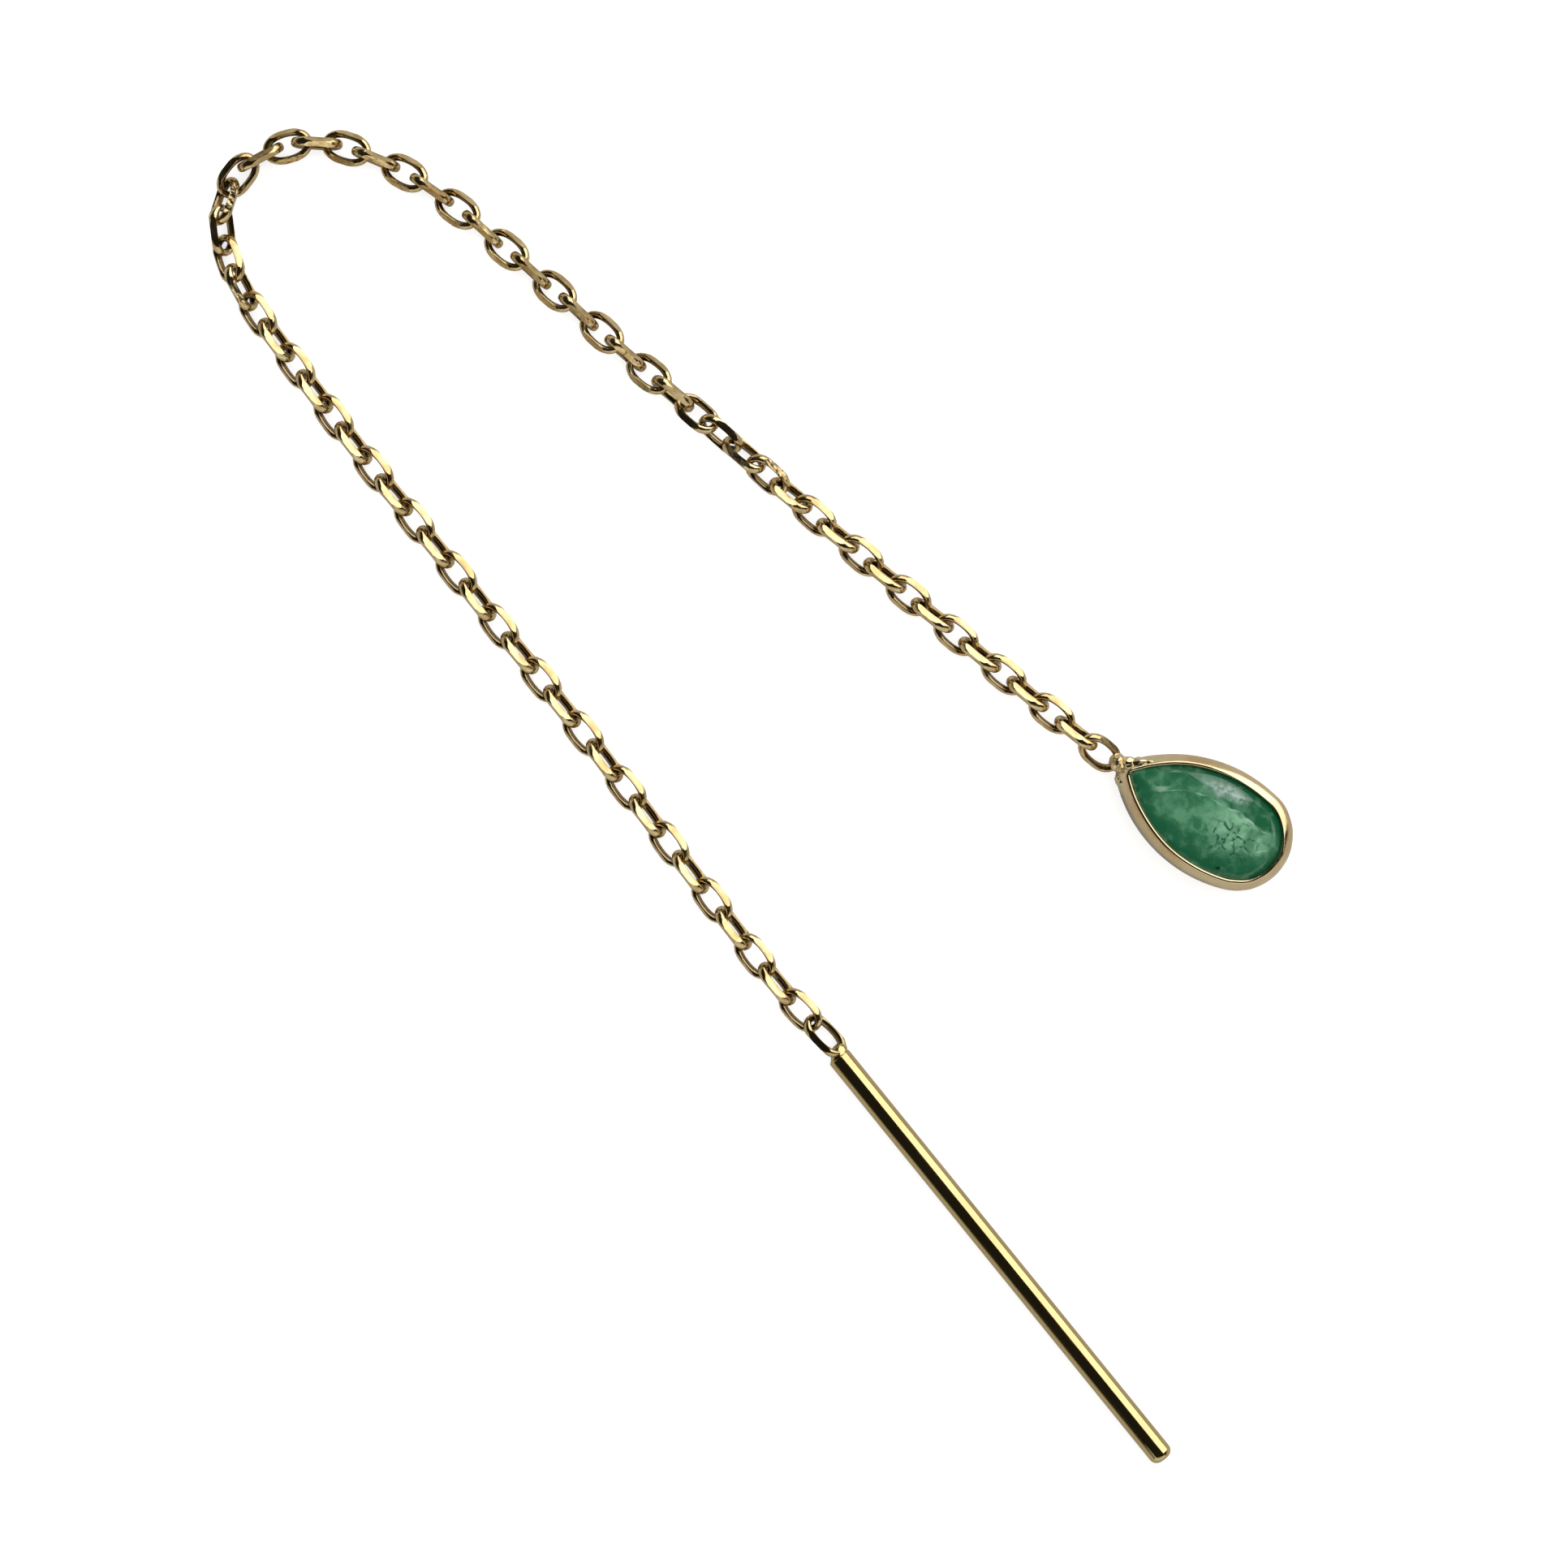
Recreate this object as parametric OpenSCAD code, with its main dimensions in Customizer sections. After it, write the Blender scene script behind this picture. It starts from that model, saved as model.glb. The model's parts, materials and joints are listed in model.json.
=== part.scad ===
// Threader earring, lying flat: a plain round needle, a fine oval cable chain
// and a pear-cut green stone in a bezel setting. Millimetres, +Z up.
// The surface that it lies on is z = 0. The needle runs along -Y, the chain
// goes up beside X = -8, turns at the top and comes back down to the setting.

/* [Needle] */
// Diameter of the needle's round wire
needle_d = 0.8; // [0.6:0.05:1.1]
// Length of the needle from its soldered head to its rounded tip
needle_len = 17.25; // [12:0.05:24]
// Radius of the rounding at the needle's blunt tip
needle_tip_r = 0.26; // [0.1:0.02:0.29]
// How far the needle's head reaches past the end of the link that is soldered to it
needle_overlap = 0.05; // [0:0.05:0.2]
// How far the needle's axis lies to the side of that link's end
needle_shift = 0.16; // [0:0.02:0.2]
// Length of the solder cone between the needle's head and its link
needle_solder_len = 0.35; // [0.25:0.05:0.5]

/* [Chain] */
// Outer length of a link
link_len = 1.8; // [1.6:0.02:2.2]
// Outer width of a link
link_width = 1.2; // [1.16:0.02:1.5]
// Thickness of a link's wire, across its flats
link_wire = 0.24; // [0.2:0.01:0.26]
// Free gap between neighbouring links where the chain is taut
link_gap = 0.13; // [0.1:0.01:0.18]
// Number of flats around a link's wire
link_flats = 6; // [5, 6]

/* [Stone] */
// Length of the stone from its tip to its round end
stone_len = 5.75; // [5.4:0.05:7.5]
// Width of the stone
stone_width = 3.3; // [3.2:0.05:4.4]
// Distance from the stone's round end to its widest place
stone_belly = 2.3; // [2.2:0.05:2.8]
// Radius of the stone's tip, seen from above
stone_tip_r = 0.25; // [0.25:0.05:0.6]
// Height of the stone's crown, above its girdle
crown_h = 0.6; // [0.4:0.05:0.8]
// Thickness of the stone's girdle
girdle_t = 0.1; // [0.06:0.02:0.16]
// Depth of the stone's pavilion, below its girdle
pavilion_h = 1.3; // [1:0.05:1.6]

/* [Setting] */
// Thickness of the bezel wall beside the stone
bezel_wall = 0.24; // [0.2:0.02:0.4]
// How far the burnished lip reaches in over the stone
lip_reach = 0.09; // [0.06:0.01:0.14]
// Thickness of the lip above the stone's girdle
lip_h = 0.3; // [0.28:0.02:0.4]
// Width of the bearing that the stone sits on
bearing_w = 0.2; // [0.12:0.01:0.24]
// Gap between the stone and its setting
stone_gap = 0.04; // [0.02:0.01:0.08]
// Clear height under the stone's point
culet_gap = 0.2; // [0.1:0.05:0.4]
// Diameter of the solder ball that joins the chain to the setting
solder_d = 0.56; // [0.44:0.02:0.64]
// How far the ball's middle lies back from the end of the link inside it
solder_back = 0.2; // [0.1:0.02:0.3]
// Thickness of the solder that has run around the bezel's tip
solder_run = 0.08; // [0.04:0.02:0.14]
// Height at which that solder begins
solder_low_z = 0.3; // [0.1:0.05:0.6]
// How far the solder ball sinks into the bezel's tip
solder_sink = 0.16; // [0.1:0.02:0.24]

/* [Hidden] */

gold = [0.83, 0.69, 0.42];
emerald = [0.16, 0.45, 0.3];
round_fn = 48;
// Number of flats around the solder ball
ball_fn = 12;
// A length that runs past whatever it cuts
beyond = 20;

// The chain's route, from the needle to the setting. Lift is the height over
// the usual one, roll turns the even links about the chain, lean is how steeply
// the links zigzag up and down, slack is how much closer than taut they lie.
// x, y, lift, roll, lean, slack
ROUTE = [
    [-7.95,  -9.15, -0.03,  66,  0, 0.00],
    [-8.15,  -6.50,  0.00,  66,  0, 0.00],
    [-8.10,  -3.50,  0.00,  66,  0, 0.00],
    [-8.00,   0.00,  0.00,  66,  0, 0.00],
    [-7.90,   5.00,  0.00,  66,  0, 0.04],
    [-7.85,  10.00,  0.00,  66,  0, 0.05],
    [-7.80,  16.00,  0.00,  65,  2, 0.09],
    [-7.65,  20.00,  0.00,  64,  2, 0.12],
    [-7.55,  22.10,  0.00,  62,  2, 0.12],
    [-7.40,  23.20,  0.00,  60,  2, 0.14],
    [-7.10,  24.20,  0.00,  56,  3, 0.18],
    [-6.65,  25.05,  0.00,  50,  3, 0.19],
    [-6.00,  25.65,  0.00,  38,  2, 0.19],
    [-5.20,  26.05,  0.00,  24,  2, 0.18],
    [-4.30,  26.00,  0.00,  12,  4, 0.19],
    [-3.45,  25.80,  0.00,   4,  6, 0.20],
    [-2.60,  25.30,  0.00,   0,  8, 0.17],
    [-1.90,  24.60,  0.00,   0,  8, 0.14],
    [-0.85,  22.70,  0.00,   2,  8, 0.10],
    [-0.20,  20.60,  0.00,   2,  8, 0.10],
    [ 0.60,  16.40,  0.00,   0,  8, 0.12],
    [ 1.30,  12.30,  0.00,  -6,  8, 0.13],
    [ 1.70,  10.30,  0.00, -26,  8, 0.13],
    [ 2.05,   8.35,  0.00, -48,  8, 0.13],
    [ 2.60,   5.20,  0.00, -62,  8, 0.14],
    [ 3.40,   1.00,  0.00, -70,  8, 0.14],
    [ 4.20,  -3.00,  0.00, -70,  8, 0.14],
    [ 4.70,  -5.40,  0.00, -70,  8, 0.14],
    [ 5.13,  -7.50,  0.05, -70,  4, 0.14]
];
LIFT = 2;
ROLL = 3;
LEAN = 4;
SLACK = 5;
// Smooth steps between one point of the route and the next
ROUTE_STEPS = 10;
// Share of the links that belong to the needle side's node
NEEDLE_SIDE_SHARE = 0.42;

// A quarter of a link's centre line, as shares of its half length and half width
// along, across
LINK_QUARTER = [
    [1.00, 0.28],
    [0.88, 0.70],
    [0.58, 1.00]
];

// The setting's long axis, as a direction seen from above
setting_turn = -69;

// The stone's facets. Facing is the direction that a facet faces seen from
// above, slope its angle from level, start the share of the crown's or the
// pavilion's height at which it meets the girdle's edge.
// facing, slope, start
crown_start = 0.16;
pavilion_start = 0.1;
CROWN_FACETS = [
    [0, 30, crown_start],
    [48, 31, crown_start],
    [88, 32, crown_start],
    [118, 31, crown_start],
    [180, 22, crown_start],
    [24, 40, 0],
    [68, 41, 0],
    [103, 41, 0],
    [132, 38, 0]
];
PAVILION_FACETS = [
    [0, 31, pavilion_start],
    [48, 34, pavilion_start],
    [88, 37, pavilion_start],
    [118, 35, pavilion_start],
    [180, 21, pavilion_start],
    [24, 46, 0],
    [68, 48, 0],
    [103, 48, 0],
    [132, 44, 0]
];

// Heights of the stone and its setting
girdle_z = culet_gap + pavilion_h;
crown_z = girdle_z + girdle_t;
table_z = crown_z + crown_h;
lip_z = crown_z + lip_h;
bezel_out = stone_gap + bezel_wall;

// The stone's outline is four arcs: two long sides, the round end and the tip.
// x = 0 is its widest place, and its tip points to -x.
tip_x = -(stone_len - stone_belly - stone_tip_r);
side_r = (pow(tip_x, 2) + pow(stone_width / 2, 2) - pow(stone_tip_r, 2))
    / (stone_width - 2 * stone_tip_r);
side_y = side_r - stone_width / 2;
end_x = (pow(side_y, 2) - pow(side_r - stone_belly, 2)) / (2 * (side_r - stone_belly));
end_r = stone_belly - end_x;
// Directions in which the side arcs meet the round end and the tip
end_turn = atan2(side_y, end_x);
tip_turn = atan2(side_y, tip_x);

function unit(v) = v / norm(v);

// Point between b and c on the smooth curve through a, b, c and d
function smooth(a, b, c, d, t) =
    (2 * b + (c - a) * t + (2 * a - 5 * b + 4 * c - d) * t * t
    + (3 * b - a - 3 * c + d) * t * t * t) / 2;

// The route as closely spaced rows
route_rows = concat(
    [for (i = [0:len(ROUTE) - 2], k = [0:ROUTE_STEPS - 1])
        smooth(ROUTE[max(i - 1, 0)], ROUTE[i], ROUTE[i + 1],
            ROUTE[min(i + 2, len(ROUTE) - 1)], k / ROUTE_STEPS)],
    [ROUTE[len(ROUTE) - 1]]
);

function plan_of(row) = [row[0], row[1]];
function step_len(i) = norm(plan_of(route_rows[i]) - plan_of(route_rows[i - 1]));

// Length of the route, seen from above, from its start to each row
route_lens = [
    for (i = 0, s = 0; i < len(route_rows); i = i + 1, s = s + (i < len(route_rows) ? step_len(i) : 0)) s
];
route_len = route_lens[len(route_lens) - 1];

// Value of one of the route's columns at a length along it
function route_at(s, column) =
    lookup(s, [for (i = [0:len(route_rows) - 1]) [route_lens[i], route_rows[i][column]]]);

// Distance from link to link where the chain is taut
taut_pitch = link_len - 2 * link_wire - link_gap;
function pitch_at(s) = taut_pitch - route_at(s, SLACK);

// Places along the route where one link meets the next
function places_from(s) =
    s >= route_len ? [s] : concat([s], places_from(s + pitch_at(s) * cos(route_at(s, LEAN))));
raw_places = places_from(0);
places = raw_places * route_len / raw_places[len(raw_places) - 1];
link_count = len(places) - 1;
needle_side_count = round(link_count * NEEDLE_SIDE_SHARE);

// The height of the chain's middle: an upright link just stands on the surface,
// also where it leans
function chain_z(lean) = wire_r
    + max([for (q = LINK_QUARTER) q[0] * link_half[0] * sin(lean) + q[1] * link_half[1] * cos(lean)]);
function joint(i) =
    let (s = places[i], lean = route_at(s, LEAN), rise = pitch_at(s) * sin(lean) / 2)
    [route_at(s, 0), route_at(s, 1),
        chain_z(lean) + route_at(s, LIFT) + (i % 2 == 0 ? -rise : rise)];

// A link's own directions: along the chain, across the link and out of its face
function link_along(i) = unit(joint(i + 1) - joint(i));
function link_middle(i) = (joint(i + 1) + joint(i)) / 2;
function link_roll(i) = route_at((places[i] + places[i + 1]) / 2, ROLL) + 90 * (i % 2);
function link_across(i) =
    let (along = link_along(i), left = unit([-along[1], along[0], 0]), up = cross(along, left))
    left * cos(link_roll(i)) + up * sin(link_roll(i));

// The whole of a link's centre line, in its own plane
link_half = [(link_len - link_wire) / 2, (link_width - link_wire) / 2];
quarter = len(LINK_QUARTER);
link_loop = concat(
    [for (k = [0:quarter - 1]) [LINK_QUARTER[k][0], LINK_QUARTER[k][1]]],
    [for (k = [quarter - 1:-1:0]) [-LINK_QUARTER[k][0], LINK_QUARTER[k][1]]],
    [for (k = [0:quarter - 1]) [-LINK_QUARTER[k][0], -LINK_QUARTER[k][1]]],
    [for (k = [quarter - 1:-1:0]) [LINK_QUARTER[k][0], -LINK_QUARTER[k][1]]]
);
loop_n = len(link_loop);
function loop_point(k) =
    let (share = link_loop[(k + loop_n) % loop_n]) [share[0] * link_half[0], share[1] * link_half[1]];
// Outward direction at a corner of the loop, long enough to keep the wire's thickness
function loop_out(k) =
    let (
        before = unit(loop_point(k) - loop_point(k - 1)),
        after = unit(loop_point(k + 1) - loop_point(k)),
        out_before = [before[1], -before[0]],
        mid = unit([before[1] + after[1], -before[0] - after[0]])
    ) mid / (mid * out_before);
wire_r = link_wire / 2 / cos(180 / link_flats);

function link_points(i) =
    let (along = link_along(i), across = link_across(i), face = cross(along, across), mid = link_middle(i))
    [for (k = [0:loop_n - 1], j = [0:link_flats - 1])
        let (
            p = loop_point(k),
            o = loop_out(k),
            turn = 180 / link_flats + 360 / link_flats * j,
            in_plane = p + o * wire_r * cos(turn)
        ) mid + along * in_plane[0] + across * in_plane[1] + face * wire_r * sin(turn)];
function link_faces(first) =
    [for (k = [0:loop_n - 1], j = [0:link_flats - 1])
        let (k2 = (k + 1) % loop_n, j2 = (j + 1) % link_flats)
        [first + k * link_flats + j, first + k * link_flats + j2,
            first + k2 * link_flats + j2, first + k2 * link_flats + j]];

module links(from, to) {
    polyhedron(
        points = [for (i = [from:to], p = link_points(i)) p],
        faces = [for (i = [from:to], f = link_faces((i - from) * loop_n * link_flats)) f],
        convexity = 10
    );
}

// Ends of the first and last links, where they are soldered
function link_end(i, way) = link_middle(i) + link_along(i) * way * link_len / 2;
needle_joint = link_end(0, -1);
setting_joint = link_end(link_count - 1, 1) - solder_back * link_along(link_count - 1);

needle_head = [needle_joint[0] - needle_shift, needle_joint[1] + needle_overlap, needle_d / 2];

module needle() {
    color(gold) {
        translate(needle_head) rotate([90, 0, 0]) needle_wire();
        translate(needle_head) rotate([-90, 0, 0])
            cylinder(h = needle_solder_len, d1 = needle_d, d2 = link_wire, $fn = round_fn);
        links(0, 0);
    }
}

// Round wire with a blunt tip that is rounded at its rim
module needle_wire() {
    r = needle_d / 2;
    rotate_extrude($fn = round_fn) {
        square([r, needle_len - needle_tip_r]);
        square([r - needle_tip_r, needle_len]);
        intersection() {
            translate([r - needle_tip_r, needle_len - needle_tip_r]) circle(needle_tip_r, $fn = round_fn);
            square([r, needle_len]);
        }
    }
}

module chain_needle_side() {
    color(gold) links(1, needle_side_count);
}

module chain_pendant_side() {
    color(gold) links(needle_side_count + 1, link_count - 2);
}

// Point of the stone's outline that faces one way, moved out by a distance
function outline_point(facing, out) =
    let (turn = (facing + 180) % 360 - 180, side = turn < 0 ? -1 : 1, size = abs(turn))
    size <= end_turn ? [end_x + (end_r + out) * cos(turn), (end_r + out) * sin(turn)]
    : size >= tip_turn ? [tip_x + (stone_tip_r + out) * cos(turn), (stone_tip_r + out) * sin(turn)]
    : [(side_r + out) * cos(turn), (side_r + out) * sin(turn) - side * side_y];

// Section of the bezel: an upright wall with a rounded lip and a sloping bearing.
// distance out of the stone's outline, height
lip_r = min(lip_h, bezel_out + lip_reach) / 2;
lip_under_z = crown_z + crown_start * crown_h + stone_gap;
bearing_top_z = girdle_z - pavilion_start * pavilion_h - 2 * stone_gap;
bearing_z = bearing_top_z - bearing_w * tan(48);
bezel_section = concat(
    [[-bearing_w, 0], [bezel_out, 0]],
    [for (turn = [0:22.5:90]) [bezel_out, lip_z] + lip_r * [cos(turn) - 1, sin(turn) - 1]],
    [
        [-lip_reach + lip_r / 2, lip_z],
        [-lip_reach, lip_z - lip_r / 2],
        [-lip_reach, lip_under_z + lip_reach * tan(32)],
        [stone_gap, lip_under_z],
        [stone_gap, bearing_top_z],
        [-bearing_w, bearing_z]
    ]
);

// The section swept around the stone's outline
module bezel() {
    facings = [-180:7.5:172.5];
    n = len(bezel_section);
    rings = len([for (facing = facings) facing]);
    polyhedron(
        points = [for (facing = facings, c = bezel_section)
            let (p = outline_point(facing, c[0])) [p[0], p[1], c[1]]],
        faces = [for (k = [0:rings - 1], j = [0:n - 1])
            let (k2 = (k + 1) % rings, j2 = (j + 1) % n)
            [k * n + j, k * n + j2, k2 * n + j2, k2 * n + j]],
        convexity = 6
    );
}

// Solder run around the outside of the bezel's tip
module tip_solder() {
    difference() {
        translate([tip_x, 0, solder_low_z])
            cylinder(h = lip_z - lip_r - solder_low_z, r = stone_tip_r + bezel_out + solder_run, $fn = round_fn);
        translate([0, 0, -beyond]) linear_extrude(height = 2 * beyond)
            polygon([for (facing = [-180:7.5:172.5]) outline_point(facing, bezel_out / 2)]);
    }
}

// The setting and the stone in place: the bezel's tip meets the solder ball
bezel_tip_x = tip_x - stone_tip_r - bezel_out;
module in_place() {
    translate([setting_joint[0], setting_joint[1], 0]) rotate([0, 0, setting_turn])
        translate([solder_d / 2 - solder_sink - bezel_tip_x, 0, 0]) children();
}

module setting() {
    color(gold) {
        in_place() bezel();
        in_place() tip_solder();
        translate(setting_joint) sphere(d = solder_d, $fn = ball_fn);
        links(link_count - 1, link_count - 1);
    }
}

// A block that takes away all that lies above a facet
module facet_cut(facing, slope, z) {
    edge = outline_point(facing, 0);
    translate([edge[0], edge[1], z]) rotate([0, 0, facing]) rotate([0, slope, 0])
        translate([-beyond, -beyond, 0]) cube([2 * beyond, 2 * beyond, beyond]);
}

// Facets that face off the long axis are cut on both sides of it
module cut_facets(facets, h) {
    for (f = facets)
        for (side = f[0] % 180 == 0 ? [1] : [1, -1])
            facet_cut(side * f[0], f[1], f[2] * h);
}

module stone() {
    outline = [for (facing = [-180:7.5:172.5]) outline_point(facing, 0)];
    color(emerald) in_place() difference() {
        translate([0, 0, culet_gap]) linear_extrude(height = table_z - culet_gap) polygon(outline);
        translate([0, 0, crown_z]) cut_facets(CROWN_FACETS, crown_h);
        translate([0, 0, girdle_z]) mirror([0, 0, 1]) cut_facets(PAVILION_FACETS, pavilion_h);
    }
}

needle();
chain_needle_side();
chain_pendant_side();
setting();
stone();
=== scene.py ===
"""Looks of a threader earring: needle, diamond-cut cable chain, and a pear-cut green stone in a bezel.

Lengths in the tables are millimetres. The surface that the earring lies on is z = 0.
"""

import json
import math
import random

import bmesh
import bpy
from mathutils import Matrix, Vector
from mathutils.noise import noise as noise_at

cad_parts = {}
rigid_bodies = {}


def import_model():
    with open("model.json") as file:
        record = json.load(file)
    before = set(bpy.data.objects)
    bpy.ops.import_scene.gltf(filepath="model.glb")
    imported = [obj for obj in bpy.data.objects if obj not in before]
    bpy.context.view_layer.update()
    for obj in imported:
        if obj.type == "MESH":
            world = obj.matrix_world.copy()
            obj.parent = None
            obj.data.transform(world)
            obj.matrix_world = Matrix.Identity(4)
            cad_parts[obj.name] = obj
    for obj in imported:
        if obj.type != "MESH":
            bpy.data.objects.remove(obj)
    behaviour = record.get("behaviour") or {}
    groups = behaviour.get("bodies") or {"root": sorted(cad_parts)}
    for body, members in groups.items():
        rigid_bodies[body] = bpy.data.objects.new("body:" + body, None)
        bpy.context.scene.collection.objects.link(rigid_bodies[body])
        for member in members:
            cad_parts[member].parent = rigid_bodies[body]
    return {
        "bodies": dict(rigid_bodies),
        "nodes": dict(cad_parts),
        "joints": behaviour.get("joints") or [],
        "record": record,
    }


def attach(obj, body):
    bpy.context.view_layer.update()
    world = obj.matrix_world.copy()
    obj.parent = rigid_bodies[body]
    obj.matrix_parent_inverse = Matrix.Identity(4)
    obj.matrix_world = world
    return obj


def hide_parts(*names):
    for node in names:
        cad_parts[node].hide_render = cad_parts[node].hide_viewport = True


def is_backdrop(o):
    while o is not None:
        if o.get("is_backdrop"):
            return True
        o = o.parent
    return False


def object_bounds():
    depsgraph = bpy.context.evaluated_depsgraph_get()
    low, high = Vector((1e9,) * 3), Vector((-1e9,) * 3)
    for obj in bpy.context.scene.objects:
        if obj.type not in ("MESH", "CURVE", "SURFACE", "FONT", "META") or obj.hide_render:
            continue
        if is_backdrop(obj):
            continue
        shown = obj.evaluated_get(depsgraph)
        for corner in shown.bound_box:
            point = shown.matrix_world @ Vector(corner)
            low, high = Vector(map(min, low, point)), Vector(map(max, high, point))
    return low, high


MM = 0.001

# The chain's route, from the needle to the setting.
# x, y, lift, roll, lean, slack
ROUTE = [
    (-7.95, -9.15, -0.03, 66, 0, 0.00),
    (-8.15, -6.50, 0.00, 66, 0, 0.00),
    (-8.10, -3.50, 0.00, 66, 0, 0.00),
    (-8.00, 0.00, 0.00, 66, 0, 0.00),
    (-7.90, 5.00, 0.00, 66, 0, 0.04),
    (-7.85, 10.00, 0.00, 66, 0, 0.05),
    (-7.80, 16.00, 0.00, 65, 2, 0.09),
    (-7.65, 20.00, 0.00, 64, 2, 0.12),
    (-7.55, 22.10, 0.00, 62, 2, 0.12),
    (-7.40, 23.20, 0.00, 60, 2, 0.14),
    (-7.10, 24.20, 0.00, 56, 3, 0.18),
    (-6.65, 25.05, 0.00, 50, 3, 0.19),
    (-6.00, 25.65, 0.00, 38, 2, 0.19),
    (-5.20, 26.05, 0.00, 24, 2, 0.18),
    (-4.30, 26.00, 0.00, 12, 4, 0.19),
    (-3.45, 25.80, 0.00, 4, 6, 0.20),
    (-2.60, 25.30, 0.00, 0, 8, 0.17),
    (-1.90, 24.60, 0.00, 0, 8, 0.14),
    (-0.85, 22.70, 0.00, 2, 8, 0.10),
    (-0.20, 20.60, 0.00, 2, 8, 0.10),
    (0.60, 16.40, 0.00, 0, 8, 0.12),
    (1.30, 12.30, 0.00, -6, 8, 0.13),
    (1.70, 10.30, 0.00, -26, 8, 0.13),
    (2.05, 8.35, 0.00, -48, 8, 0.13),
    (2.60, 5.20, 0.00, -62, 8, 0.14),
    (3.40, 1.00, 0.00, -70, 8, 0.14),
    (4.20, -3.00, 0.00, -70, 8, 0.14),
    (4.70, -5.40, 0.00, -70, 8, 0.14),
    (5.13, -7.50, 0.05, -70, 4, 0.14),
]
ROUTE_COLUMNS = ("x", "y", "lift", "roll", "lean", "slack")
ROUTE_STEPS = 10
NEEDLE_SIDE_SHARE = 0.42

# How steeply the links that are seen zigzag, in degrees, by joint
SEEN_LEAN = [(0, 0), (20, 2), (26, 5), (28, 10), (29, 12), (33, 12), (36, 13), (68, 13)]
# How much higher the joints of the last links lie, in mm
SEEN_RISE = [(63, 0.0), (65, 0.12), (66, 0.2), (67, 0.3), (68, -0.05)]
# How far the links that are seen have turned about the chain, in degrees, by link
SEEN_TURN = [(0, -24), (1, 0)]

# The plain link of the part's source, which says where the links lie
PLAIN_LINK = {"length": 1.8, "width": 1.2, "wire": 0.24, "gap": 0.13, "flats": 6}
PLAIN_QUARTER = [(1.00, 0.28), (0.88, 0.70), (0.58, 1.00)]

# The link that is seen: round wire, cut flat on its four outer corners
CUT_LINK = {
    "length": 1.74,
    "width": 1.05,
    "end_wire": 0.24,
    "side_wire": 0.26,
    "thick": 1.32,
    "cut_depth": 0.07,
    "squareness": 2.2,
    "loop_points": 28,
    "wire_points": 14,
}

# Colour of the painted shade on the inner side of the links, where shade falls between them
PAINTED_INNER_SHADE_COLOR = (0.27, 0.19, 0.09)

# The solder on the needle's head: distance up, radius, share of the way over to the link
NEEDLE = {
    "d": 0.8,
    "length": 17.25,
    "tip_r": 0.26,
    "overlap": 0.05,
    "shift": 0.16,
    "solder": [
        (0.02, 0.365, 0.10),
        (0.08, 0.345, 0.35),
        (0.16, 0.325, 0.60),
        (0.24, 0.29, 0.80),
        (0.31, 0.23, 0.95),
        (0.36, 0.15, 1.0),
        (0.38, 0.06, 1.0),
    ],
}

STONE = {
    "length": 5.75,
    "width": 3.3,
    "belly": 2.3,
    "tip_r": 0.25,
    "crown": 0.6,
    "girdle": 0.1,
    "pavilion": 1.3,
    "culet_gap": 0.2,
}
BEZEL = {
    "wall": 0.24,
    "gap": 0.04,
    "reach": 0.09,
    "lip": 0.3,
    "bearing": 0.2,
    "edge_r": 0.075,
    "pressed_at": 68,
    "turn": -69,
    "place": (6.546, -11.271),
}

# Lumps of solder round the bezel's tip, in the pendant's own directions; the first is the joint
# with the chain
# middle, sizes, turn, seed
SOLDER_LUMPS = [
    ((-3.85, 0.13, 0.84), (0.64, 0.62, 0.90), 0, 10),
    ((-3.64, 0.10, 1.22), (0.46, 0.56, 0.90), 0, 11),
    ((-3.56, 0.30, 1.56), (0.50, 0.40, 0.62), 25, 12),
    ((-3.28, 0.47, 1.66), (0.66, 0.34, 0.52), 30, 13),
    ((-3.00, 0.62, 1.70), (0.52, 0.26, 0.40), 32, 14),
    ((-3.50, -0.38, 1.15), (0.52, 0.32, 1.00), -35, 15),
    ((-3.24, -0.58, 1.00), (0.54, 0.26, 0.90), -34, 16),
]

# The worn crown: a rim that slopes up to a crease, then a low dome. Towards the shoulder the rim
# is wider and steeper, and the dome flatter; each pair is the value opposite it and the rise to it
DOME = {
    "rim": (0.24, 0.12),
    "even_rim": 0.2,
    "rim_slope": (30, 22),
    "foot": 1.62,
    "shoulder": 70,
    "crease": (1.95, 0.08),
    "top": 2.18,
    "table": 2.15,
}
# Facets cut in the dome: direction it faces, distance in from the edge, angle from level, depth
CROWN_FACETS = [
    (99, 0.60, 23.0, 0.018),
    (38, 0.42, 24.0, 0.02),
    (-118, 0.45, 19.0, 0.02),
    (-88, 0.45, 18.0, 0.02),
    (-55, 0.45, 17.0, 0.02),
    (-18, 0.45, 15.0, 0.018),
]
# Facets of the stone's underside: direction it faces seen from above, angle from level, and
# the share of the height at which it meets the girdle
PAVILION_START = 0.1
PAVILION_FACETS = [
    (0, 31, PAVILION_START),
    (48, 34, PAVILION_START),
    (88, 37, PAVILION_START),
    (118, 35, PAVILION_START),
    (180, 21, PAVILION_START),
    (24, 46, 0),
    (68, 48, 0),
    (103, 48, 0),
    (132, 44, 0),
]


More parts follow.
